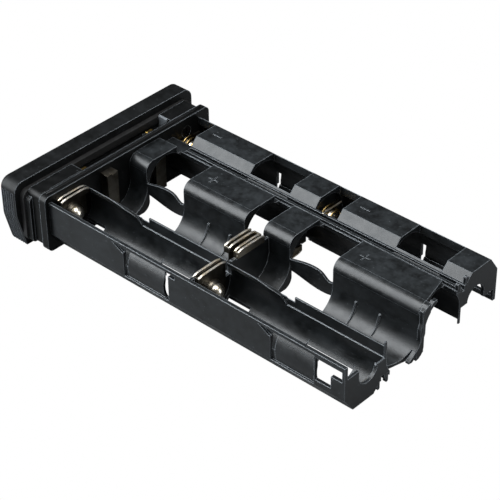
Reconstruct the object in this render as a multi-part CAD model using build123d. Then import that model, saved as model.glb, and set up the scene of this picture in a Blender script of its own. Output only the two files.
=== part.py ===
from build123d import *
import os

os.makedirs("parts", exist_ok=True)

# A one-layer magazine for eight AA cells: two columns open upwards, two open downwards.
# Half of the tray is built and turned half a revolution about the long axis for the rest.
# Millimetres. Built with x = 0 at the free end and y = z = 0 on the long axis, then placed.

# ---- cell and bays
CELL_D = 14.5
CELL_L = 50.5
BORE_R = CELL_D / 2 + 0.05
PITCH_Y = 15.3
BAY_PITCH = 53.0
PART_T = 0.8                                  # partition between the two bays of a column
WEB = PITCH_Y - 2 * BORE_R                    # wall between neighbouring bores
SKIN = 0.85                                   # wall that follows a cell

# ---- tray
TRAY_L = 2 * BAY_PITCH
TRAY_W = 62.2
TRAY_H = 15.7
END_T = 1.0
AXIS_Z = TRAY_H / 2 - 0.25 - CELL_D / 2       # cell axis of the upward columns
COL_OUT = -1.5 * PITCH_Y
COL_IN = -0.5 * PITCH_Y
RIM_Z = TRAY_H / 2 - 0.7
RIM_W = 1.1
LEAF_Z = RIM_Z - 1.0                          # curved leaf that holds the outer cell
LOW_Z = 1.2
MID_Z = 4.65
LEDGE_T = 0.45
RAIL_Z = 5.45
RAIL_SLOT_W = 1.1
RAIL_SLOT_D = 1.5
STEP_D = 1.0                                  # second groove beside the rails
STEP_W = 1.1
DOME_R = 3.0
FLANK_Y = 12.0                                # sharp edge of the inner trough floor

# ---- openings of the troughs, as (start, end) from the free end
OUT_GAPS = [(-TRAY_L, -98.6), (-76.0, -61.0), (-51.5, -43.6), (-23.5, -8.0)]
IN_GAPS = [(-99.0, -84.5), (-61.5, -54.6), (-45.0, -30.0)]
END_CUT = -4.2
STRAP_TOP = [(0, 1.2), (0.3, 2.2), (0.55, 2.6), (0.75, 1.9), (0.88, 0.5), (1, 0.9)]
STRAP_BASE = [(0, -2.2), (0.3, -3.0), (0.6, -3.8), (0.8, -3.9), (1, -3.4)]
RECESSES = [(-77.0, -62.2), (-24.4, -10.0)]
GROOVE_W = 1.5
SLOT_X = (-62.2, -60.3)
WINDOW_X = (-9.6, -0.9)
NOTCH_W = 7.2
NOTCH_Z = -2.45
END_TOP_Z = 3.2

# ---- cap
NECK_X = -TRAY_L
NECK_Y = (-31.6, 31.3)
DECK_X = (-113.9, -109.0)
DECK_Z = 8.7
SUNK_Y = (-15.0, 19.8)
SUNK_Z = 4.4
FLANGE_T = 2.4
FLANGE_W = 65.0
FLANGE_Z = (-8.9, 9.2)
PLATE_IN = -115.5
PLATE_T = 6.2
PLATE_W = 70.0
PLATE_Z = (-10.7, 10.6)
GRIP_N = 5
SEAL_T = 1.6
FIT = 0.3
SCREW_R = 0.9
SCREW_HEAD_R = 1.7
SCREW_END = -110.4
TERMINALS = [(-111.6, -12.6), (-111.6, 13.6)]

# ---- lock
KNOB_R = 9.0
KNOB_T = 3.6
KNOB_POCKET = KNOB_T + FIT
SPINDLE_R = 2.5
RUN = 0.05
KEY_Y = (-7.2, 7.6)
KEY_W = 3.4
KEY_T = 1.8
KEY_AX = KEY_T / 2 + 0.1
KEY_PIN_R = 0.6
PIN_L = 7.0
WING_R = 11.6
WING_W = 6.0
WING_T = 1.4
WING_SLOT = (-112.9, -110.9)

# ---- contacts
MID_X = -BAY_PITCH
STRIP_T = 0.4
CLIP_W = 10.4
CLIP_TOP = LEAF_Z + 0.5
CLIP_OUT = (-2.6, CLIP_TOP)
CLIP_IN = (CLIP_TOP - 2.0, CLIP_TOP)
DOME_CR = 3.1
DOME_H = 1.9


def section(points, x0, x1):
    """Prism along X of a (y, z) outline."""
    face = make_face(Polyline(*points, close=True))
    return extrude(Plane.YZ.offset(x0) * face, x1 - x0)


def side(points, y0, y1):
    """Prism along Y of an (x, z) outline."""
    face = make_face(Polyline(*points, close=True))
    return extrude(Plane.XZ.offset(-y0) * face, -(y1 - y0))


def block(x, y, z):
    """Box from three (low, high) pairs."""
    size = (x[1] - x[0], y[1] - y[0], z[1] - z[0])
    mid = ((x[0] + x[1]) / 2, (y[0] + y[1]) / 2, (z[0] + z[1]) / 2)
    return Pos(*mid) * Box(*size)


def rod(radius, x0, x1, y, z):
    """Cylinder along X."""
    return Pos(x0, y, z) * Rot(0, 90, 0) * Cylinder(radius, x1 - x0, align=(Align.CENTER, Align.CENTER, Align.MIN))


def rounded(x0, x1, width, zs, radius, y=0.0):
    """Rounded rectangular plate lying across X."""
    face = RectangleRounded(width, zs[1] - zs[0], radius)
    plate = extrude(Plane.YZ.offset(x0) * face, x1 - x0)
    return Pos(0, y, (zs[0] + zs[1]) / 2) * plate


def turned(shape):
    return Rot(180, 0, 0) * shape


# ---- tray half
def half_outline():
    h = TRAY_H / 2
    w = TRAY_W / 2
    crease = [(-w, RIM_Z), (-w, -3.05), (-w + 3.1, -h + 0.3), (-w + 3.5, -h)]
    floor = [(-w + 11.4, -h), (-w + 13.7, -RAIL_Z), (-FLANK_Y, -RAIL_Z), (-FLANK_Y, -h)]
    base = crease + floor + [(-DOME_R + WEB / 2, -h)]
    c = (-DOME_R + WEB / 2, -h + DOME_R)
    arc = [(c[0] + DOME_R * s, c[1] - DOME_R * t) for s, t in ((0.383, 0.924), (0.707, 0.707), (0.924, 0.383), (1, 0))]
    top = [(WEB / 2, 4.85), (COL_IN - BORE_R, 4.85), (COL_IN - BORE_R, LEAF_Z)]
    return base + arc + top + [(-w + 2.1, LEAF_Z), (-w + 2.1, RIM_Z)]


def bay_spans():
    wall = PART_T / 2
    return [(-TRAY_L - 1, -BAY_PITCH - wall), (-BAY_PITCH + wall, -END_T)]


def leaf_cut(x0):
    """Space above the curved leaf between the two upward columns."""
    start = x0 + 6.5
    drop = LEAF_Z - LOW_Z
    pts = [(start, LEAF_Z + 2)]
    for k in range(9):
        s = k / 8
        pts.append((start + 14.0 * s, LOW_Z + drop * (1 - s ** 2.6) ** 0.5))
    pts += [(x0 + BAY_PITCH + 1, LOW_Z), (x0 + BAY_PITCH + 1, LEAF_Z + 2)]
    return side(pts, COL_OUT + 2, COL_IN - BORE_R - WEB)


def half_tray():
    w = TRAY_W / 2
    half = section(half_outline(), -TRAY_L, 0)
    leaf_y = COL_OUT + 5.55
    for n, (a, b) in enumerate(bay_spans()):
        x0 = -TRAY_L + n * BAY_PITCH
        half -= rod(BORE_R, a, b, COL_OUT, AXIS_Z)
        half -= rod(BORE_R, a, b, COL_IN, AXIS_Z)
        half -= block((a, b), (-w + RIM_W, leaf_y), (AXIS_Z, 9))
        half -= block((a, b), (COL_IN - BORE_R, -WEB / 2), (AXIS_Z, 9))
        half -= block((x0 + 24, x0 + BAY_PITCH - 0.4), (leaf_y - 1, COL_OUT + BORE_R), (AXIS_Z, 9))
        half -= leaf_cut(x0)
        back = block((x0 - 1, x0 + 23), (leaf_y - 1.5, COL_IN - BORE_R), (LOW_Z, 9))
        half -= back - rod(BORE_R + SKIN, x0 - 1, x0 + 23, COL_OUT, AXIS_Z)
        half -= block((x0 + 23, x0 + BAY_PITCH - 0.4), (leaf_y, COL_IN - BORE_R + 1), (MID_Z, 9))
        half -= block((x0 + 20.5, x0 + BAY_PITCH - 0.4), (leaf_y, COL_IN - BORE_R - LEDGE_T), (LOW_Z, 9))
    slot_y = COL_OUT + BORE_R + WEB / 2 - 0.9
    half -= block((-98, 1), (slot_y - RAIL_SLOT_W / 2, slot_y + RAIL_SLOT_W / 2), (-9, -RAIL_Z + RAIL_SLOT_D))
    for a, b in OUT_GAPS:
        half -= block((a, b), (-w + 3.2, -w + 13.7), (-9, -3.6))
    step_y = COL_IN - BORE_R + 1.3
    half -= block((-98, 1), (step_y - STEP_W, step_y), (-9, -RAIL_Z + STEP_D))
    for a, b in IN_GAPS:
        half -= block((a, b), (COL_IN - BORE_R + 1.6, 2), (-9, 9))
    # the free end of the inner trough is cut back on the slant
    end = [(END_CUT, COL_IN - BORE_R + 1.6), (1, COL_IN - BORE_R + 1.6), (1, -2.6), (-1.6, -2.6)]
    half -= Pos(0, 0, -9) * extrude(make_face(Polyline(*end, close=True)), 18)
    for a, b in RECESSES:
        outer = block((a, b), (-w - 1, -w + 6), (AXIS_Z - 3.4, LEAF_Z))
        half -= outer - rod(BORE_R + SKIN, a, b, COL_OUT, AXIS_Z)
        half -= block((a, a + GROOVE_W), (-w - 1, -w + 6), (0.2, LEAF_Z - 0.6))
        half -= block((a, a + GROOVE_W), (-w - 1, -w + 0.6), (AXIS_Z - 3.4, 0.3))
        half -= side([(a - 4.2, LEAF_Z + 0.2), (a + 0.1, LEAF_Z + 0.2), (a + 0.1, 4.4), (a - 0.6, 4.4)], -w - 1, -w + 0.7)
    half -= block(SLOT_X, (-w - 1, -w + 6), (-3.2, LEAF_Z))
    half -= block((SLOT_X[1] - 0.1, SLOT_X[1] + 2.4), (-w - 1, -w + 6), (LEAF_Z - 1.1, LEAF_Z))
    half -= block((WINDOW_X[0], WINDOW_X[1] - 3.6), (-w - 1, -w + 6), (-1.4, LEAF_Z - 0.5))
    half -= block((WINDOW_X[1] - 3.7, WINDOW_X[1]), (-w - 1, -w + 6), (2.4, LEAF_Z - 0.5))
    # end wall of the outer column keeps a notch, the inner column ends open
    half -= block((-END_T - 0.1, 1), (-22 - NOTCH_W / 2, -22 + NOTCH_W / 2), (NOTCH_Z + NOTCH_W / 2, 9))
    half -= rod(NOTCH_W / 2, -END_T - 0.1, 1, -22, NOTCH_Z + NOTCH_W / 2)
    half -= block((-END_T - 0.1, 1), (-w + RIM_W, COL_OUT + BORE_R), (END_TOP_Z, 9))
    half -= rod(BORE_R, -END_T - 0.1, 1, COL_IN, AXIS_Z)
    half -= block((-END_T - 0.1, 1), (COL_IN - BORE_R, -WEB / 2), (AXIS_Z, 9))
    # thin ribs across the back flank of the inner trough
    for n in range(2):
        x0 = -TRAY_L + n * BAY_PITCH
        for x in (x0 + 31.0, x0 + 39.0):
            ring = rod(BORE_R + 0.2, x, x + 0.5, COL_IN, AXIS_Z) - rod(BORE_R - 0.45, x, x + 0.5, COL_IN, AXIS_Z)
            half += ring & block((x, x + 0.5), (COL_IN + 1, 0), (-8, -1))
    return half


def strap(x0, x1):
    """Web that joins the inner troughs across a gap; its top dips beside the next dome."""
    run = x1 - x0
    top = Spline(*[(x0 + run * f, z) for f, z in STRAP_TOP])
    base = Spline(*[(x0 + run * f, z) for f, z in STRAP_BASE])
    outline = top + base + Line(top @ 0, base @ 0) + Line(top @ 1, base @ 1)
    return extrude(Plane.XZ.offset(-WEB / 2) * make_face(outline.edges()), WEB)


def tray():
    half = half_tray()
    whole = half + turned(half)
    for a, b in (IN_GAPS[0], IN_GAPS[2]):
        whole += strap(a - 0.2, b + 0.2)
    whole += strap(IN_GAPS[1][0] - 0.2, IN_GAPS[1][1] + 0.2)
    for y0, clip in (((COL_OUT - CLIP_W / 2), CLIP_OUT), ((COL_IN - CLIP_W / 2), CLIP_IN)):
        slot = block((MID_X - 0.6, MID_X + 0.6), (y0 - 0.3, y0 + STRIP_T + 0.3), (clip[0] - 0.3, 9))
        whole -= [slot, turned(slot)]
    dip = block((MID_X - PART_T / 2, MID_X + PART_T / 2), (COL_OUT - 5.9, COL_OUT + 5.2), (LEAF_Z - 2.0, 9))
    return whole - [dip, turned(dip)]


# ---- cap
def end_cover():
    body = rounded(PLATE_IN - PLATE_T, PLATE_IN, PLATE_W, PLATE_Z, 3.2)
    body = fillet(body.faces().sort_by(Axis.X)[0].edges(), 0.9)
    low = PLATE_Z[0]
    for s in (-1, 1):
        y = s * PLATE_W / 2
        body -= section([(y, 0.5), (y + s, 0.5), (y + s, low - 1), (y - s * 3.0, low - 1)], -130, PLATE_IN + 1)
    for k in range(GRIP_N):
        x = PLATE_IN - 1.0 - k * 0.95
        for s in (-1, 1):
            y = s * PLATE_W / 2
            line = [(y - s * 0.3, 7.6), (y + s, 7.6), (y + s, low), (y - s * 2.9, low), (y - s * 0.3, 0.3)]
            body -= section(line, x - 0.45, x)
    body -= rod(KNOB_R + FIT, PLATE_IN - PLATE_T - 1, PLATE_IN - PLATE_T + KNOB_POCKET, 0, 0)
    return body - rod(SPINDLE_R + RUN, -130, -110, 0, 0)


def cap_plug():
    width = NECK_Y[1] - NECK_Y[0]
    mid = (NECK_Y[0] + NECK_Y[1]) / 2
    core = rounded(PLATE_IN, NECK_X, width - 3.0, (-6.2, 6.2), 1.5, mid)
    core += rounded(DECK_X[0], DECK_X[1], width, (-DECK_Z, DECK_Z), 1.6, mid)
    core += rounded(-113.8, -112.2, FLANGE_W, (-8.3, 6.6), 1.2, mid)
    core += rounded(NECK_X - FLANGE_T, NECK_X, FLANGE_W, FLANGE_Z, 1.8, mid + 0.2)
    core += rounded(NECK_X - 0.9, NECK_X, FLANGE_W - 3, (FLANGE_Z[0] + 0.8, FLANGE_Z[1] - 0.8), 1.8, mid)
    # sunk deck that the latch turns in
    for s in (-1, 1):
        z = sorted((s * SUNK_Z, s * 12))
        core -= block((DECK_X[0] - 0.1, DECK_X[1]), SUNK_Y, z)
    core -= block(WING_SLOT, (-WING_R - 1.0, WING_R + 1.0), (-12, 12))
    for x in (DECK_X[1] - 0.2, DECK_X[1] + 0.45):
        core -= block((x - 0.15, x + 0.15), (NECK_Y[0] + 4, SUNK_Y[0] - 1), (DECK_Z - 2.2, DECK_Z + 2))
    core -= rod(SPINDLE_R + RUN, -130, WING_SLOT[1] + 1.2, 0, 0)
    core -= rod(3.0, WING_SLOT[1], WING_SLOT[1] + 2.2, 0, 0)
    for x, y in TERMINALS:
        core += block((x - 1.3, x + 1.3), (y - 1.8, y + 1.8), (SUNK_Z - 0.5, SUNK_Z + 1.6))
    for y, z in screw_places():
        core -= rod(SCREW_R, SCREW_END - 0.1, -100, y, z)
        core -= rod(SCREW_HEAD_R + 0.1, NECK_X - 1.3, NECK_X + 1, y, z)
    return core


def seal_ring():
    mid = (NECK_Y[0] + NECK_Y[1]) / 2
    ring = rounded(PLATE_IN, PLATE_IN + SEAL_T, FLANGE_W + 1.2, (-8.6, 8.2), 2.4, mid)
    hole = rounded(PLATE_IN - 1, PLATE_IN + 3, NECK_Y[1] - NECK_Y[0] - 3.0, (-6.2, 6.2), 1.5, mid)
    return ring - hole


def screw_places():
    return [(COL_OUT, -4.7), (COL_IN, -4.7), (-COL_IN, 4.7), (-COL_OUT, 4.7)]


def cover_screws():
    out = []
    for y, z in screw_places():
        screw = rod(SCREW_HEAD_R, NECK_X - 1.3, NECK_X, y, z) + rod(SCREW_R, SCREW_END, NECK_X - 1.2, y, z)
        for a in (0, 90):
            cross = Pos(NECK_X, y, z) * Rot(a, 0, 0) * Box(1.0, 2.2, 0.5)
            screw -= cross
        out.append(screw)
    return Compound(out)


# ---- lock
def lock_knob():
    x0 = PLATE_IN - PLATE_T
    knob = rod(KNOB_R, x0, x0 + KNOB_T, 0, 0)
    knob = chamfer(knob.edges().filter_by(GeomType.CIRCLE).sort_by(Axis.X)[0], 0.5)
    hw = KEY_W / 2 + 0.3
    knob -= block((x0 - 1, x0 + KEY_T + 0.6), (KEY_Y[0] - 0.4, KEY_Y[1] + 0.4), (-hw, hw))
    knob -= Pos(x0, KEY_Y[1] - 0.8, 0) * Sphere(3.3)
    for k in range(24):
        a = 15 * k
        knob -= Rot(a, 0, 0) * block((x0 - 1, x0 + 1.6), (KNOB_R - 0.35, KNOB_R + 1), (-0.35, 0.35))
    knob -= rod(SPINDLE_R, x0 + 2.9, x0 + 9, 0, 0)
    return knob - Pos(x0 + KEY_AX, KEY_Y[0] + KEY_T / 2, 0) * Cylinder(KEY_PIN_R, PIN_L)


def lock_key():
    x0 = PLATE_IN - PLATE_T
    y = KEY_Y[0] + KEY_T / 2
    bar = block((x0 + KEY_AX - KEY_T / 2, x0 + KEY_AX + KEY_T / 2), (y, KEY_Y[1]), (-KEY_W / 2, KEY_W / 2))
    bar += Pos(x0 + KEY_AX, y, 0) * Cylinder(KEY_T / 2, KEY_W)
    bar = chamfer(bar.edges().filter_by(Axis.X).sort_by(Axis.Y)[-2:], 0.9)
    return bar - Pos(x0 + KEY_AX, y, 0) * Cylinder(KEY_PIN_R + RUN, KEY_W + 1)


def key_pin():
    return Pos(PLATE_IN - PLATE_T + KEY_AX, KEY_Y[0] + KEY_T / 2, 0) * Cylinder(KEY_PIN_R, PIN_L)


def lock_spindle():
    x0 = PLATE_IN - PLATE_T
    pin = rod(SPINDLE_R, x0 + 2.9, WING_SLOT[1] - 0.3 - WING_T, 0, 0)
    square = block((WING_SLOT[1] - 0.4 - WING_T, WING_SLOT[1] - 0.3), (-1.6, 1.6), (-1.6, 1.6))
    pin += square
    return pin - rod(0.9, WING_SLOT[1] - 4, WING_SLOT[1] + 1, 0, 0)


def lock_wing():
    x1 = WING_SLOT[1] - 0.3
    bar = block((x1 - WING_T, x1), (-WING_R + 1.0, WING_R - 1.0), (-WING_W / 2, WING_W / 2))
    bar &= rod(WING_R, x1 - WING_T, x1, 0, 0)
    bar = chamfer(bar.edges().filter_by(Axis.X), 1.0)
    return bar - block((-130, -100), (-1.6, 1.6), (-1.6, 1.6))


def wing_screw():
    x1 = WING_SLOT[1] - 0.3
    screw = rod(2.3, x1, x1 + 1.0, 0, 0) + rod(0.9, x1 - 3.0, x1, 0, 0)
    return screw - block((x1 + 0.6, x1 + 2), (-3, 3), (-0.25, 0.25))


# ---- contacts of the upward columns; the others are the same turned half a revolution
def button(x, y):
    """Plate with a pressed dome facing the free end."""
    plate = block((x, x + STRIP_T), (y - CLIP_W / 2, y + CLIP_W / 2), (-2.6, CLIP_TOP))
    dome = rod(DOME_CR, x, x + STRIP_T + DOME_H, y, AXIS_Z)
    dome = fillet(dome.edges().filter_by(GeomType.CIRCLE).sort_by(Axis.X)[-1], DOME_H)
    return plate + dome


def outer_left():
    y = COL_OUT
    plate = button(NECK_X, y)
    fold = block((NECK_X, NECK_X + 1.7), (y - CLIP_W / 2, y - CLIP_W / 2 + STRIP_T), (CLIP_TOP - 1.8, CLIP_TOP))
    lip = block((NECK_X + 1.3, NECK_X + 1.7), (y - CLIP_W / 2, y + CLIP_W / 2), (CLIP_TOP - 1.8, CLIP_TOP))
    return plate + fold + lip


def outer_mid():
    y = COL_OUT
    w = CLIP_W / 2
    near = button(MID_X + PART_T / 2, y)
    far = block((MID_X - PART_T / 2 - STRIP_T, MID_X - PART_T / 2), (y - w, y + w), CLIP_OUT)
    bend = block((MID_X - PART_T / 2 - STRIP_T, MID_X + PART_T / 2 + STRIP_T), (y - w, y - w + STRIP_T), CLIP_OUT)
    tab = block((MID_X + PART_T / 2, MID_X + 1.9), (y - w + 1.5, y - w + 2.4), (CLIP_TOP - 2.6, CLIP_TOP - 2.2))
    return near + far + bend + tab


def outer_right():
    return block((-END_T - STRIP_T, -END_T), (-25.4, -18.6), (-5.6, NOTCH_Z - 0.3))


def inner_left():
    y = (-11.4, -7.4)
    top = 7.4
    back = block((NECK_X, NECK_X + STRIP_T), y, (-1.5, top))
    bridge = block((NECK_X, -103.2), y, (top - STRIP_T, top))
    face = [(y[0], top), (y[1], top), (y[1], -3.0), (y[1] - 1.3, -4.0), (y[0] + 1.3, -4.0), (y[0], -3.0)]
    tongue = section(face, -103.6, -103.2)
    hook = block((-103.6, -102.4), (y[0] + 1.2, y[1] - 1.2), (top, top + STRIP_T))
    return back + bridge + tongue + hook


def inner_mid():
    """Strip folded back and forth; its two pairs of legs stand across the trough."""
    w = CLIP_W / 2
    y = COL_IN
    xs = [MID_X + PART_T / 2, MID_X - PART_T / 2 - STRIP_T, MID_X - 2.8, MID_X - 4.4]
    legs = [block((x, x + STRIP_T), (y - w, y + w), CLIP_IN) for x in xs]
    face = block((xs[2], xs[2] + STRIP_T), (y - w, y + w), (-2.6, CLIP_TOP))
    body = legs[0] + legs[1] + legs[2] + legs[3] + face
    ends = [-w, w - STRIP_T, -w]
    for k, e in enumerate(ends):
        body += block((xs[k + 1], xs[k] + STRIP_T), (y + e, y + e + STRIP_T), CLIP_IN)
    return body


def terminals():
    out = []
    for x, y in TERMINALS:
        z = SUNK_Z + 1.6
        pad = block((x - 0.8, x + 0.8), (y - 1.2, y + 1.2), (z, z + 1.0))
        pad = fillet(pad.faces().sort_by(Axis.Z)[-1].edges(), 0.35)
        out.append(pad)
    return Compound(out)


NODES = {
    "tray_moulding": tray(),
    "end_cover": end_cover(),
    "cap_plug": cap_plug(),
    "seal_ring": seal_ring(),
    "cover_screws": cover_screws(),
    "lock_knob": lock_knob(),
    "lock_key": lock_key(),
    "key_pin": key_pin(),
    "lock_spindle": lock_spindle(),
    "lock_wing": lock_wing(),
    "wing_screw": wing_screw(),
    "output_terminals": terminals(),
    "contact_outer_left": outer_left(),
    "contact_outer_mid": outer_mid(),
    "contact_outer_right": outer_right(),
    "contact_inner_left": inner_left(),
    "contact_inner_mid": inner_mid(),
}
for name in [n for n in NODES if n.startswith("contact_")]:
    NODES[name + "_rear"] = turned(NODES[name])

PLACE = Pos((PLATE_T - PLATE_IN) / 2, 0, -PLATE_Z[0])
for name, shape in NODES.items():
    export_step(PLACE * shape, f"parts/{name}.step")
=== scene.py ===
import bpy
import math
import numpy as np
from mathutils import Matrix, Vector


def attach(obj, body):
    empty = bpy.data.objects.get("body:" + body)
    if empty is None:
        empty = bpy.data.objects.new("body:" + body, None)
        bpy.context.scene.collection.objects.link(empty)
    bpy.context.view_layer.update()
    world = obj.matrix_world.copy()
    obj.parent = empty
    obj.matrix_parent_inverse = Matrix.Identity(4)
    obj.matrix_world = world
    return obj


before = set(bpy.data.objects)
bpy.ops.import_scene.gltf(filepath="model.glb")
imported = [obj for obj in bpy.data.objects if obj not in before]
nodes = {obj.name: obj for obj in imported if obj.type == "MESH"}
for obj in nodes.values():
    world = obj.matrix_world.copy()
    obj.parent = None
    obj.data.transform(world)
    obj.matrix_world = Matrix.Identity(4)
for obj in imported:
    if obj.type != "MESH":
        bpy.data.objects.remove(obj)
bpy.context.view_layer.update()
mm = 0.001
print("frame loaded:", len(nodes), "nodes")

# the tray's own frame inside the row: x starts at its free end, y and z at its long axis
trayEnd = 60.85 * mm
axisZ = 10.7 * mm


def linear(code):
    # sRGB hex to linear: ((c + 0.055) / 1.055) ^ 2.4
    vals = [int(code[i:i + 2], 16) / 255 for i in (1, 3, 5)]
    return tuple(v / 12.92 if v < 0.04045 else ((v + 0.055) / 1.055) ** 2.4 for v in vals) + (1.0,)


def newMaterial(name):
    mat = bpy.data.materials.new(name)
    mat.use_nodes = True
    tree = mat.node_tree
    tree.nodes.clear()
    out = tree.nodes.new("ShaderNodeOutputMaterial")
    shader = tree.nodes.new("ShaderNodeBsdfPrincipled")
    tree.links.new(shader.outputs[0], out.inputs["Surface"])
    return mat, tree, shader


def add(tree, kind, inputs=None, **props):
    # adds one node; a socket given as an input is linked, anything else is set
    node = tree.nodes.new(kind)
    for key, value in props.items():
        setattr(node, key, value)
    for key, value in (inputs or {}).items():
        if isinstance(value, bpy.types.NodeSocket):
            tree.links.new(value, node.inputs[key])
        else:
            node.inputs[key].default_value = value
    return node


def noise(tree, coord, periodMm, detail=3.0, rough=0.55):
    # the period in mm becomes cycles per metre
    return add(tree, "ShaderNodeTexNoise", {"Vector": coord, "Scale": 1 / (periodMm * mm),
                                            "Detail": detail, "Roughness": rough}).outputs["Fac"]


def spread(tree, value, low, high, toLow=0.0, toHigh=1.0):
    return add(tree, "ShaderNodeMapRange", {"Value": value, "From Min": low, "From Max": high,
                                            "To Min": toLow, "To Max": toHigh}).outputs[0]


def calc(tree, op, a, b):
    return add(tree, "ShaderNodeMath", {0: a, 1: b}, operation=op).outputs[0]


def mixColor(tree, fac, a, b):
    # sockets 0, 6 and 7 are the colour mix's factor, first and second colour
    return add(tree, "ShaderNodeMix", {0: fac, 6: a, 7: b}, data_type="RGBA").outputs[2]


def softEdge(tree, radiusMm):
    # normal of the same surface with its edges rounded
    return add(tree, "ShaderNodeBevel", {"Radius": radiusMm * mm}, samples=4).outputs[0]


def bumpFrom(tree, height, strength, depthMm, normal=None):
    inputs = {"Strength": strength, "Distance": depthMm * mm, "Height": height}
    if normal:
        inputs["Normal"] = normal
    return add(tree, "ShaderNodeBump", inputs).outputs[0]


# what all the moulded plastics share; lengths in mm
plasticLook = {"cloudMm": 9.0, "blotchMm": 2.2, "fleckMm": 0.55, "edgeMm": 0.35, "grainDepth": 0.03,
               "waveDepth": 0.12, "fleckColor": "#7c8186", "edgeColor": "#9aa1a8", "ior": 1.53}


def mouldedPlastic(name, dark, light, rough, grainMm, mottle, gloss=0.5):
    # glass-filled plastic: eroded grain, cloudy flow marks, pale dust flecks and a painted highlight along the
    # edges
    look = plasticLook
    mat, tree, shader = newMaterial(name)
    coord = add(tree, "ShaderNodeTexCoord").outputs["Object"]
    clouds = noise(tree, coord, look["cloudMm"], 4.0)
    blotch = noise(tree, coord, look["blotchMm"], 5.0, 0.65)
    grain = noise(tree, coord, grainMm, 2.0)
    fleck = noise(tree, coord, look["fleckMm"], 1.0)
    rounded = softEdge(tree, look["edgeMm"])
    flatNormal = add(tree, "ShaderNodeNewGeometry").outputs["Normal"]

    # mottle and painted top light: the lighter mottling is strongest on the flats that look up
    up = add(tree, "ShaderNodeSeparateXYZ", {0: flatNormal}).outputs[2]
    flat = spread(tree, up, 0.9, 0.99)
    mottleAndTopLight = calc(tree, "MULTIPLY", spread(tree, blotch, 0.36, 0.66), mottle)
    mottleAndTopLight = calc(tree, "MULTIPLY", mottleAndTopLight, spread(tree, flat, 0, 1, 0.45, 1.0))
    base = mixColor(tree, mottleAndTopLight, linear(dark), linear(light))
    base = mixColor(tree, spread(tree, clouds, 0.45, 0.75, 0.0, 0.35), base, linear(light))
    base = mixColor(tree, spread(tree, fleck, 0.74, 0.82, 0.0, 0.4), base, linear(look["fleckColor"]))

    # painted edge highlight: where the rounded normal leaves the flat one, the colour is lightened towards pale
    # grey
    edgeHighlightFacing = add(tree, "ShaderNodeVectorMath", {0: rounded, 1: flatNormal},
                 operation="DOT_PRODUCT").outputs["Value"]
    base = mixColor(tree, spread(tree, edgeHighlightFacing, 0.97, 0.80, 0.0, 0.8), base, linear(look["edgeColor"]))
    tree.links.new(base, shader.inputs["Base Color"])

    wear = calc(tree, "ADD", calc(tree, "MULTIPLY", blotch, 0.6), calc(tree, "MULTIPLY", clouds, 0.4))
    tree.links.new(spread(tree, wear, 0.35, 0.65, *rough), shader.inputs["Roughness"])
    shader.inputs["IOR"].default_value = look["ior"]
    shader.inputs["Specular IOR Level"].default_value = gloss
    grained = bumpFrom(tree, grain, 0.35, look["grainDepth"], rounded)
    tree.links.new(bumpFrom(tree, clouds, 0.25, look["waveDepth"], grained), shader.inputs["Normal"])
    return mat


rubberLook = {"clean": "#0d0d0e", "dusty": "#2a2a2b", "dustMm": 1.4, "grainMm": 0.3, "rough": (0.6, 0.85)}


def sealRubber(name):
    # soft rubber: matt, with dust in patches over a fine grain
    mat, tree, shader = newMaterial(name)
    coord = add(tree, "ShaderNodeTexCoord").outputs["Object"]
    dust = noise(tree, coord, rubberLook["dustMm"], 4.0)
    base = mixColor(tree, spread(tree, dust, 0.45, 0.75, 0.0, 0.5),
                    linear(rubberLook["clean"]), linear(rubberLook["dusty"]))
    tree.links.new(base, shader.inputs["Base Color"])
    tree.links.new(spread(tree, dust, 0.3, 0.7, *rubberLook["rough"]), shader.inputs["Roughness"])
    grain = noise(tree, coord, rubberLook["grainMm"], 2.0)
    tree.links.new(bumpFrom(tree, grain, 0.3, 0.04), shader.inputs["Normal"])
    return mat


metalLook = {"patchMm": 2.6, "lineMm": 1.1, "smearMm": 5.0, "edgeMm": 0.12, "lineDepth": 0.02,
             "lineStretch": (6.0, 0.6, 6.0)}


def stripMetal(name, clean, warm, rough, warmth, brush=0.25):
    # rolled metal: warm patches in the plating, fine rolling lines and finger smears
    look = metalLook
    mat, tree, shader = newMaterial(name)
    coord = add(tree, "ShaderNodeTexCoord").outputs["Object"]
    patch = noise(tree, coord, look["patchMm"], 3.0)
    stretched = add(tree, "ShaderNodeMapping", {"Vector": coord, "Scale": look["lineStretch"]}).outputs[0]
    lines = noise(tree, stretched, look["lineMm"], 3.0)
    smear = noise(tree, coord, look["smearMm"], 4.0)
    base = mixColor(tree, spread(tree, patch, 0.42, 0.62, 0.0, warmth), linear(clean), linear(warm))
    tree.links.new(base, shader.inputs["Base Color"])
    shader.inputs["Metallic"].default_value = 1.0
    tree.links.new(spread(tree, smear, 0.3, 0.7, *rough), shader.inputs["Roughness"])
    tree.links.new(bumpFrom(tree, lines, brush, look["lineDepth"], softEdge(tree, look["edgeMm"])),
                   shader.inputs["Normal"])
    return mat


# the tray: satin black, mottled grey with painted top light on its tops, with a clear highlight along its curves
trayPlastic = mouldedPlastic("satin black moulded plastic", dark="#0c0e0f", light="#2c3033",
                             rough=(0.28, 0.42), grainMm=0.22, mottle=0.6)
# the cover and knob: darker and coarser, so that the end reads as a separate moulding
coverPlastic = mouldedPlastic("grained black cover plastic", dark="#070808", light="#181a1c",
                              rough=(0.38, 0.54), grainMm=0.35, mottle=0.6, gloss=0.25)
# the neck: the plastic darkened most as painted shade, which lets its ridges show as thin lines
shadedNeckPlastic = mouldedPlastic("dark neck plastic", dark="#030404", light="#0e0f10",
                             rough=(0.36, 0.55), grainMm=0.25, mottle=0.6, gloss=0.25)
# pale grey sheet: painted light on the deck's front face, the one pale grey part in the neck
litFacePlastic = mouldedPlastic("grey slide plastic", dark="#55595d", light="#8b9096",
                             rough=(0.35, 0.5), grainMm=0.3, mottle=0.6)
# the seal: a matt black line between the two flanges
rubber = sealRubber("black seal rubber")
# folded strips: soft grey metal with a little gold in it
nickel = stripMetal("nickel-plated spring strip", clean="#b9b3a6", warm="#94805a", rough=(0.24, 0.40), warmth=0.6)
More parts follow.
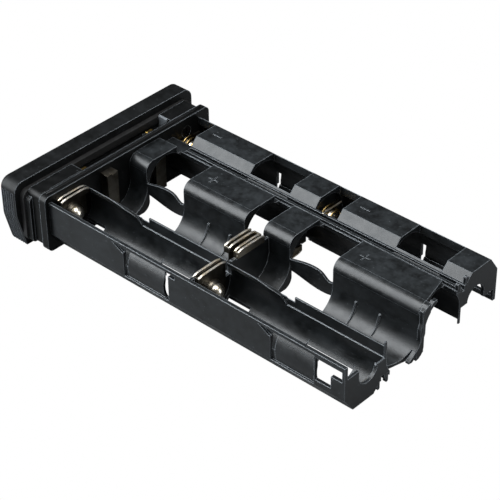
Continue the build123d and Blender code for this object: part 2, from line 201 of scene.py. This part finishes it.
# plates behind the buttons: nickel darkened as painted shade, so that the buttons and hems stand out
shadedNickel = stripMetal("tarnished nickel strip", clean="#6b675f", warm="#50483b", rough=(0.32, 0.46),
                          warmth=0.6)
# buttons: nickel lightened nearly to white as a painted highlight, a small bright ball of light on each
buttonHighlightNickel = stripMetal("polished nickel button", clean="#f4efe3", warm="#cdb98c", rough=(0.22, 0.34),
                          warmth=0.5, brush=0.08)
# hems: nickel lightened nearly to white as a painted highlight, thin bars with gold tints
hemHighlightNickel = stripMetal("polished nickel hem", clean="#fffaf0", warm="#f6deb0", rough=(0.30, 0.42),
                       warmth=0.5, brush=0.08)
# lock parts: plain bright steel
steel = stripMetal("bright spindle steel", clean="#b9bab9", warm="#8f8a80", rough=(0.24, 0.42), warmth=0.35)
# screws: dark, with a dull glint
blackSteel = stripMetal("blackened screw steel", clean="#3a3a3c", warm="#4c4741", rough=(0.35, 0.5), warmth=0.4)
# cone springs: dim yellow rings in the shade
springMetal = stripMetal("yellow passivated spring wire", clean="#b59d68", warm="#6f5a34", rough=(0.2, 0.38),
                         warmth=0.7, brush=0.1)
# output terminals: two warm dots in the dark neck
brass = stripMetal("brass pad", clean="#d4b368", warm="#a8823c", rough=(0.2, 0.36), warmth=0.6)

finish = {"tray_moulding": trayPlastic, "end_cover": coverPlastic, "cap_plug": shadedNeckPlastic,
          "seal_ring": rubber, "cover_screws": blackSteel, "lock_knob": coverPlastic, "lock_key": steel,
          "key_pin": steel, "lock_spindle": steel, "lock_wing": steel, "wing_screw": blackSteel,
          "output_terminals": brass}
# the contact plates take the nickel darkened as painted shade
for name in ("contact_inner_left", "contact_outer_left", "contact_outer_mid"):
    finish[name] = finish[name + "_rear"] = shadedNickel
for name, obj in nodes.items():
    obj.data.materials.clear()
    obj.data.materials.append(finish.get(name, nickel))
print("materials set")


def toRow(x, y, z):
    # tray frame in mm to the row frame in metres
    return np.stack([trayEnd + np.asarray(x) * mm, np.asarray(y) * mm, axisZ + np.asarray(z) * mm], axis=-1)


def halfTurn(points):
    # the rear columns are the front ones turned about the long axis: (y, z) becomes (-y, -z)
    turned = points.copy()
    turned[..., 1] *= -1
    turned[..., 2] = 2 * axisZ - turned[..., 2]
    return turned


def makePiece(name, points, faces, mat, smooth=True):
    mesh = bpy.data.meshes.new(name)
    mesh.from_pydata(points.reshape(-1, 3).tolist(), [], faces)
    mesh.polygons.foreach_set("use_smooth", np.full(len(mesh.polygons), smooth))
    mesh.materials.append(mat)
    mesh.update()
    obj = bpy.data.objects.new(name, mesh)
    bpy.context.scene.collection.objects.link(obj)
    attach(obj, "holder")
    return obj


def bothSides(name, points, faces, mat, smooth=True):
    makePiece(name + "_front", points, faces, mat, smooth)
    makePiece(name + "_rear", halfTurn(points), faces, mat, smooth)


def gridFaces(rows, cols):
    # quads between neighbouring rows of points, each row closed round on itself
    i, j = np.meshgrid(np.arange(rows - 1), np.arange(cols), indexing="ij")
    k = (j + 1) % cols
    quads = np.stack([i * cols + j, i * cols + k, (i + 1) * cols + k, (i + 1) * cols + j], -1)
    return quads.reshape(-1, 4).tolist()


def closedFaces(rows, cols):
    # the same quads with a flat face over the first row and over the last
    last = (rows - 1) * cols
    return gridFaces(rows, cols) + [list(range(cols))[::-1], list(range(last, last + cols))]


def tube(path, radiusMm, sides):
    # circle carried along a path: p + r (cos t n + sin t b), with n and b square to the path's direction
    along = np.gradient(path, axis=0)
    along /= np.linalg.norm(along, axis=1, keepdims=True)
    side = np.cross(along, np.array([1.0, 0.02, 0.01]))  # any direction that no path follows
    side /= np.linalg.norm(side, axis=1, keepdims=True)
    over = np.cross(along, side)
    t = np.linspace(0, 2 * np.pi, sides, endpoint=False)
    ring = np.cos(t)[None, :, None] * side[:, None] + np.sin(t)[None, :, None] * over[:, None]
    return path[:, None] + radiusMm * mm * ring, closedFaces(len(path), sides)


def plate(outline, x0, x1, steps=2):
    # an outline in y and z carried straight from x0 to x1
    x = np.linspace(x0, x1, steps)[:, None]
    points = toRow(x + 0 * outline[:, 0], outline[:, 0] + 0 * x, outline[:, 1] + 0 * x)
    return points, closedFaces(steps, len(outline))


def circle(y, z, radius, angle):
    # points at y + r cos a, z + r sin a
    return np.stack([y + radius * np.cos(angle), z + radius * np.sin(angle)], axis=1)


# cell axes of the two front columns, and the bore and wall round a cell
column = {"outerY": -22.95, "innerY": -7.65, "z": 0.35, "bore": 7.3, "skin": 0.85}
overlap = 0.02  # how far a computed wall stands into the moulding, so that no two surfaces lie together

# lip above the curved wall in each recess of the outer wall, rounded at its free corner
lip = {"spans": ((-75.5, -62.2), (-22.9, -9.6)), "low": 26.0, "high": 42.5, "corner": 3.0, "thick": 0.75,
       "rows": 14, "cols": 12}


def lipSurface(x0, x1):
    # arc of radius R about the cell axis; its end follows x1 - (c - sqrt(c^2 - h^2)), h the height into the corner
    corner = lip["corner"]
    outer = column["bore"] + column["skin"]
    angle = np.radians(np.linspace(lip["low"], lip["high"], lip["rows"]))
    rise = np.clip(outer * (angle - angle[-1]) + corner, 0, corner)
    end = x1 - (corner - np.sqrt(corner ** 2 - rise ** 2))
    x = x0 + (end[:, None] - x0) * np.linspace(0, 1, lip["cols"])
    walls = []
    for radius in (outer, outer - lip["thick"]):
        y = column["outerY"] - radius * np.cos(angle)[:, None] + 0 * x
        z = column["z"] + radius * np.sin(angle)[:, None] + 0 * x
        walls.append(toRow(x, y, z))
    ring = np.concatenate([walls[0], walls[1][:, ::-1]], axis=1)
    return ring, closedFaces(*ring.shape[:2])


for number, (x0, x1) in enumerate(lip["spans"], 1):
    points, faces = lipSurface(x0, x1)
    bothSides("recess_lip_" + str(number), points, faces, trayPlastic, False)

# rim left along the inner side of the trough's floor windows
sill = {"spans": ((-75.9, -61.1), (-23.4, -8.1)), "low": -50.0, "high": -36.0, "thick": 0.8, "steps": 9}
angle = np.radians(np.linspace(sill["low"], sill["high"], sill["steps"]))
under, over = [circle(column["outerY"], column["z"], column["bore"] + extra, angle)
               for extra in (sill["thick"], overlap)]
for number, (x0, x1) in enumerate(sill["spans"], 1):
    points, faces = plate(np.concatenate([under, over[::-1]]), x0, x1)
    bothSides("window_sill_" + str(number), points, faces, trayPlastic, False)

# rounded shoulder of each inner dome, smooth over the frame's flat steps
shoulder = {"spans": ((-105.8, -99.0), (-84.5, -61.5), (-54.6, -45.0), (-30.0, -1.7)), "y": 2.65, "z": 4.85,
            "radius": 3.02, "thick": 0.4, "arcSteps": 25, "xSteps": 12, "sharpOver": 30}


def shoulderOutline():
    # quarter circle: y = c - R sin a, z = d + R cos a for a from 0 to a right angle, closed by an inner arc
    angle = np.radians(np.linspace(-1, 91, shoulder["arcSteps"]))
    arcs = [np.stack([shoulder["y"] - radius * np.sin(angle), shoulder["z"] + radius * np.cos(angle)], axis=1)
            for radius in (shoulder["radius"], shoulder["radius"] - shoulder["thick"])]
    return np.concatenate([arcs[0], arcs[1][::-1]])


def sharpenAcross(obj, limit):
    # shades smooth except where neighbouring faces meet at more than the limit
    bpy.context.view_layer.objects.active = obj
    obj.select_set(True)
    bpy.ops.object.shade_smooth_by_angle(angle=math.radians(limit))
    obj.select_set(False)


for number, (x0, x1) in enumerate(shoulder["spans"], 1):
    points, faces = plate(shoulderOutline(), x0, x1, shoulder["xSteps"])
    for name, place in (("dome_shoulder_", points), ("dome_shoulder_under_", halfTurn(points))):
        piece = makePiece(name + str(number), place, faces, trayPlastic)
        sharpenAcross(piece, shoulder["sharpOver"])

# rolled hems along the top of the contact strips, in nickel lightened as a painted highlight
hem = {"outer": (-105.75, -104.25, -54.0, -52.2), "inner": (-57.2, -55.6, -53.6, -52.4),
       "reach": 5.1, "z": 6.95, "radius": 0.32, "drop": 0.7, "steps": 40, "sides": 12}


def hemBar(x, y):
    # a bar along y whose ends drop by h s^6, s being the share of its half length
    s = np.linspace(-1, 1, hem["steps"])
    path = toRow(np.full(hem["steps"], x), y + hem["reach"] * s, hem["z"] - hem["drop"] * s ** 6)
    return tube(path, hem["radius"], hem["sides"])


for place, y in (("outer", column["outerY"]), ("inner", column["innerY"])):
    for number, x in enumerate(hem[place], 1):
        points, faces = hemBar(x, y)
        bothSides("strip_hem_" + place + "_" + str(number), points, faces, hemHighlightNickel)

# button on each outer contact plate, where it presses on the cell, in nickel lightened as a painted highlight
button = {"faces": (-105.6, -52.0), "forward": 0.9, "radius": 2.5, "stretch": 1.05, "from": 2, "to": 112,
          "rings": 26, "sides": 40}


def buttonSurface(face):
    # half ellipsoid: x = f + s R cos a, with radius R sin a about the cell axis, a from 0 to past a right angle
    a = np.radians(np.linspace(button["from"], button["to"], button["rings"]))[:, None]
    t = np.linspace(0, 2 * np.pi, button["sides"], endpoint=False)[None, :]
    x = face + button["forward"] + button["stretch"] * button["radius"] * np.cos(a) + 0 * t
    y = column["outerY"] + button["radius"] * np.sin(a) * np.cos(t)
    z = column["z"] + button["radius"] * np.sin(a) * np.sin(t)
    return toRow(x, y, z), closedFaces(button["rings"], button["sides"])


for number, face in enumerate(button["faces"], 1):
    points, faces = buttonSurface(face)
    bothSides("contact_button_" + str(number), points, faces, buttonHighlightNickel)

# web across the end of the wall between the inner trough and the next one
web = {"x": (-1.3, -0.15), "low": -72, "steps": 22,
       "right": ((-0.4, 6.6), (1.0, 7.2), (0.95, -1.0), (-0.8, -5.3), (-4.0, -7.5), (-5.4, -7.3))}
# its left side is an arc of the trough's own bore, from the floor up to the side
angle = np.radians(np.linspace(web["low"], 0, web["steps"]))
left = circle(column["innerY"], column["z"], column["bore"] + overlap, angle)
points, faces = plate(np.concatenate([left, np.array(web["right"])]), *web["x"])
bothSides("end_web", points, faces, trayPlastic, False)

# feet under the free end, beside the rails, with their lower corners cut
feet = {"x": (-1.0, -0.05), "places": ((-18.2, -17.2, -7.8, -4.4), (-14.9, -13.9, -7.2, -3.6)),
        "cutY": 0.25, "cutZ": 0.3}
for number, (y0, y1, z0, z1) in enumerate(feet["places"], 1):
    outline = np.array([(y0 + feet["cutY"], z0), (y1 - feet["cutY"], z0), (y1, z0 + feet["cutZ"]), (y1, z1),
                        (y0, z1), (y0, z0 + feet["cutZ"])])
    points, faces = plate(outline, *feet["x"])
    bothSides("end_foot_" + str(number), points, faces, trayPlastic, False)

# conical spring contacts at the left end of each bay of the rear outer column
spring = {"starts": (-105.5, -52.1), "length": 4.0, "wide": 3.7, "narrow": 2.6, "turns": 3.2, "wire": 0.3,
          "flat": 0.2, "steps": 150, "sides": 10}


def springPath(x0):
    # conical helix: x grows with the turn, the radius shrinks from wide to narrow, with a flat first part
    turn = np.linspace(0, 1, spring["steps"])
    angle = 2 * np.pi * spring["turns"] * turn
    radius = spring["wide"] + (spring["narrow"] - spring["wide"]) * turn
    x = x0 + spring["wire"] + spring["length"] * np.clip((turn - spring["flat"]) / (1 - spring["flat"]), 0, 1)
    return toRow(x, -column["outerY"] + radius * np.cos(angle), -column["z"] + radius * np.sin(angle))


for number, x0 in enumerate(spring["starts"], 1):
    points, faces = tube(springPath(x0), spring["wire"], spring["sides"])
    makePiece("cone_spring_" + str(number), points, faces, springMetal)


def barAlongY(x, ySpan, z, radius):
    # straight bar of 24 steps and 12 sides
    y = np.linspace(*ySpan, 24)
    return tube(toRow(x + 0 * y, y, z + 0 * y), radius, 12)


# flat leaf over the middle contact of the rear outer column, from the wall towards the cell's axis
leaf = {"x": -47.6, "y": (15.9, 23.8), "z": 6.2, "radius": 0.3}
points, faces = barAlongY(leaf["x"], leaf["y"], leaf["z"], leaf["radius"])
makePiece("flat_leaf", points, faces, nickel)

# raised polarity marks on the flats over the cells: x, y and sign of each
mark = {"size": 3.4, "width": 0.45, "height": 0.09, "top": 7.85, "sunk": 0.05,
        "places": ((-79.5, 6.6, 1), (-25.0, 6.6, 1), (-94.0, 23.6, -1), (-39.0, 23.6, -1))}


def markBars(x, y, sign):
    # one bar for minus, two crossed bars for plus, each a low block with sloping sides
    bars = []
    for order in ((1,) if sign < 0 else (1, -1)):
        half = np.array([mark["size"] / 2, mark["width"] / 2])[::order]
        base = np.array([(-1, -1), (1, -1), (1, 1), (-1, 1)]) * half
        levels = [toRow(x + base[:, 0] * size, y + base[:, 1] * size, np.full(4, mark["top"] + height))
                  for size, height in ((1.0, -mark["sunk"]), (1.0, mark["height"] * 0.6), (0.9, mark["height"]))]
        bars.append(np.stack(levels))
    return bars


for number, (x, y, sign) in enumerate(mark["places"], 1):
    for part, points in enumerate(markBars(x, y, sign)):
        faces = gridFaces(3, 4) + [[8, 9, 10, 11]]  # open below, closed on top
        makePiece("polarity_mark_" + str(number) + "ab"[part], points, faces, trayPlastic,
                  False)

# ridges that run across the neck, in the neck plastic with painted shade: x, the span in y, and z of each
ridge = {"places": ((-114.3, (-14.6, 19.4), 5.0), (-108.7, (-30.4, 19.0), 8.75), (-107.3, (-30.4, 30.0), 9.25)),
         "radius": 0.42}
for number, (x, ySpan, z) in enumerate(ridge["places"], 1):
    points, faces = barAlongY(x, ySpan, z, ridge["radius"])
    makePiece("neck_ridge_" + str(number), points, faces, shadedNeckPlastic)

# pale grey sheet on the deck's front face beside the latch, painted light for the light that face catches; its top
# falls away from the ridges
pad = {"y": (19.35, 19.75), "x": (-113.7, -110.4), "z": (4.7, 8.7), "fall": 0.2}
(y0, y1), (z0, z1) = pad["y"], pad["z"]
points, faces = plate(np.array([(y0, z0), (y1, z0), (y1, z1), (y0, z1 - pad["fall"])]), *pad["x"])
makePiece("slide_pad", points, faces, litFacePlastic, False)
print("computed pieces made")

stage = {"floorHalf": 3.0, "floorDrop": 0.2 * mm, "floorTone": (0.17, 0.175, 0.18, 1), "floorRough": 0.8,
         "skyTone": (0.93, 0.96, 1.0, 1), "skyStrength": 0.11}
white = (1, 1, 1, 1)


def whiteToCamera(tree, out, shading, glowKind):
    # plain white to the camera; the light on the part comes from the shading given
    seen = add(tree, "ShaderNodeLightPath").outputs["Is Camera Ray"]
    glow = add(tree, glowKind, {"Color": white, "Strength": 1.0}).outputs[0]
    mix = add(tree, "ShaderNodeMixShader", {0: seen, 1: shading, 2: glow})
    tree.links.new(mix.outputs[0], out.inputs["Surface"])


def makeFloor():
    half, z = stage["floorHalf"], -stage["floorDrop"]
    mesh = bpy.data.meshes.new("floor")
    mesh.from_pydata([(-half, -half, z), (half, -half, z), (half, half, z), (-half, half, z)], [], [(0, 1, 2, 3)])
    floor = bpy.data.objects.new("floor", mesh)
    bpy.context.scene.collection.objects.link(floor)
    mat, tree, shader = newMaterial("white sweep")
    shader.inputs["Base Color"].default_value = stage["floorTone"]
    shader.inputs["Roughness"].default_value = stage["floorRough"]
    out = [n for n in tree.nodes if n.type == "OUTPUT_MATERIAL"][0]
    whiteToCamera(tree, out, shader.outputs[0], "ShaderNodeEmission")
    mesh.materials.append(mat)


def makeWorld():
    world = bpy.data.worlds.new("studio")
    bpy.context.scene.world = world
    world.use_nodes = True
    tree = world.node_tree
    tree.nodes.clear()
    out = tree.nodes.new("ShaderNodeOutputWorld")
    sky = add(tree, "ShaderNodeBackground", {"Color": stage["skyTone"], "Strength": stage["skyStrength"]})
    whiteToCamera(tree, out, sky.outputs[0], "ShaderNodeBackground")


# metres, watts, and a tint
lamps = {"front left softbox": {"place": (-0.40, -0.42, 0.42), "aim": (0, 0, 0.01), "size": (0.42, 1.1),
                                "power": 10.4, "tint": (0.93, 0.97, 1.0)},
         "overhead softbox": {"place": (0.10, -0.05, 0.60), "aim": (0, 0, 0), "size": (0.3, 0.3),
                              "power": 2.6, "tint": (1.0, 0.99, 0.97)},
         "right strip": {"place": (0.45, 0.10, 0.20), "aim": (0, 0, 0.01), "size": (0.15, 0.4),
                         "power": 0.8, "tint": (0.96, 0.98, 1.0)}}


def areaLight(name, place, aim, size, power, tint):
    data = bpy.data.lights.new(name, "AREA")
    data.shape = "RECTANGLE"
    data.size, data.size_y = size
    data.energy = power
    data.color = tint
    lamp = bpy.data.objects.new(name, data)
    lamp.location = place
    lamp.rotation_mode = "QUATERNION"
    lamp.rotation_quaternion = (Vector(aim) - Vector(place)).to_track_quat("-Z", "Y")
    bpy.context.scene.collection.objects.link(lamp)


# angles in degrees, lens and sensor in mm, place in mm in the row frame
view = {"azimuth": 43.0, "elevation": 36.2, "roll": -0.79, "lens": 131.26, "sensor": 36.0,
        "place": (274.85, -293.7, 301.45), "clip": (0.02, 20.0)}


def makeCamera():
    azimuth, elevation, roll = (math.radians(view[key]) for key in ("azimuth", "elevation", "roll"))
    back = Vector((math.sin(azimuth) * math.cos(elevation), -math.cos(azimuth) * math.cos(elevation),
                   math.sin(elevation)))
    right = Vector((math.cos(azimuth), math.sin(azimuth), 0))
    up = back.cross(right)
    turnedRight = right * math.cos(roll) + up * math.sin(roll)
    turnedUp = up * math.cos(roll) - right * math.sin(roll)
    data = bpy.data.cameras.new("camera")
    data.sensor_width = view["sensor"]
    data.lens = view["lens"]
    data.clip_start, data.clip_end = view["clip"]
    camera = bpy.data.objects.new("camera", data)
    turn = Matrix((turnedRight, turnedUp, back)).transposed().to_4x4()
    camera.matrix_world = Matrix.Translation(Vector(view["place"]) * mm) @ turn
    bpy.context.scene.collection.objects.link(camera)
    bpy.context.scene.camera = camera


bpy.context.scene.view_settings.view_transform = "Standard"
makeFloor()
makeWorld()
for name, values in lamps.items():
    areaLight(name, **values)
makeCamera()

print("stage ready")
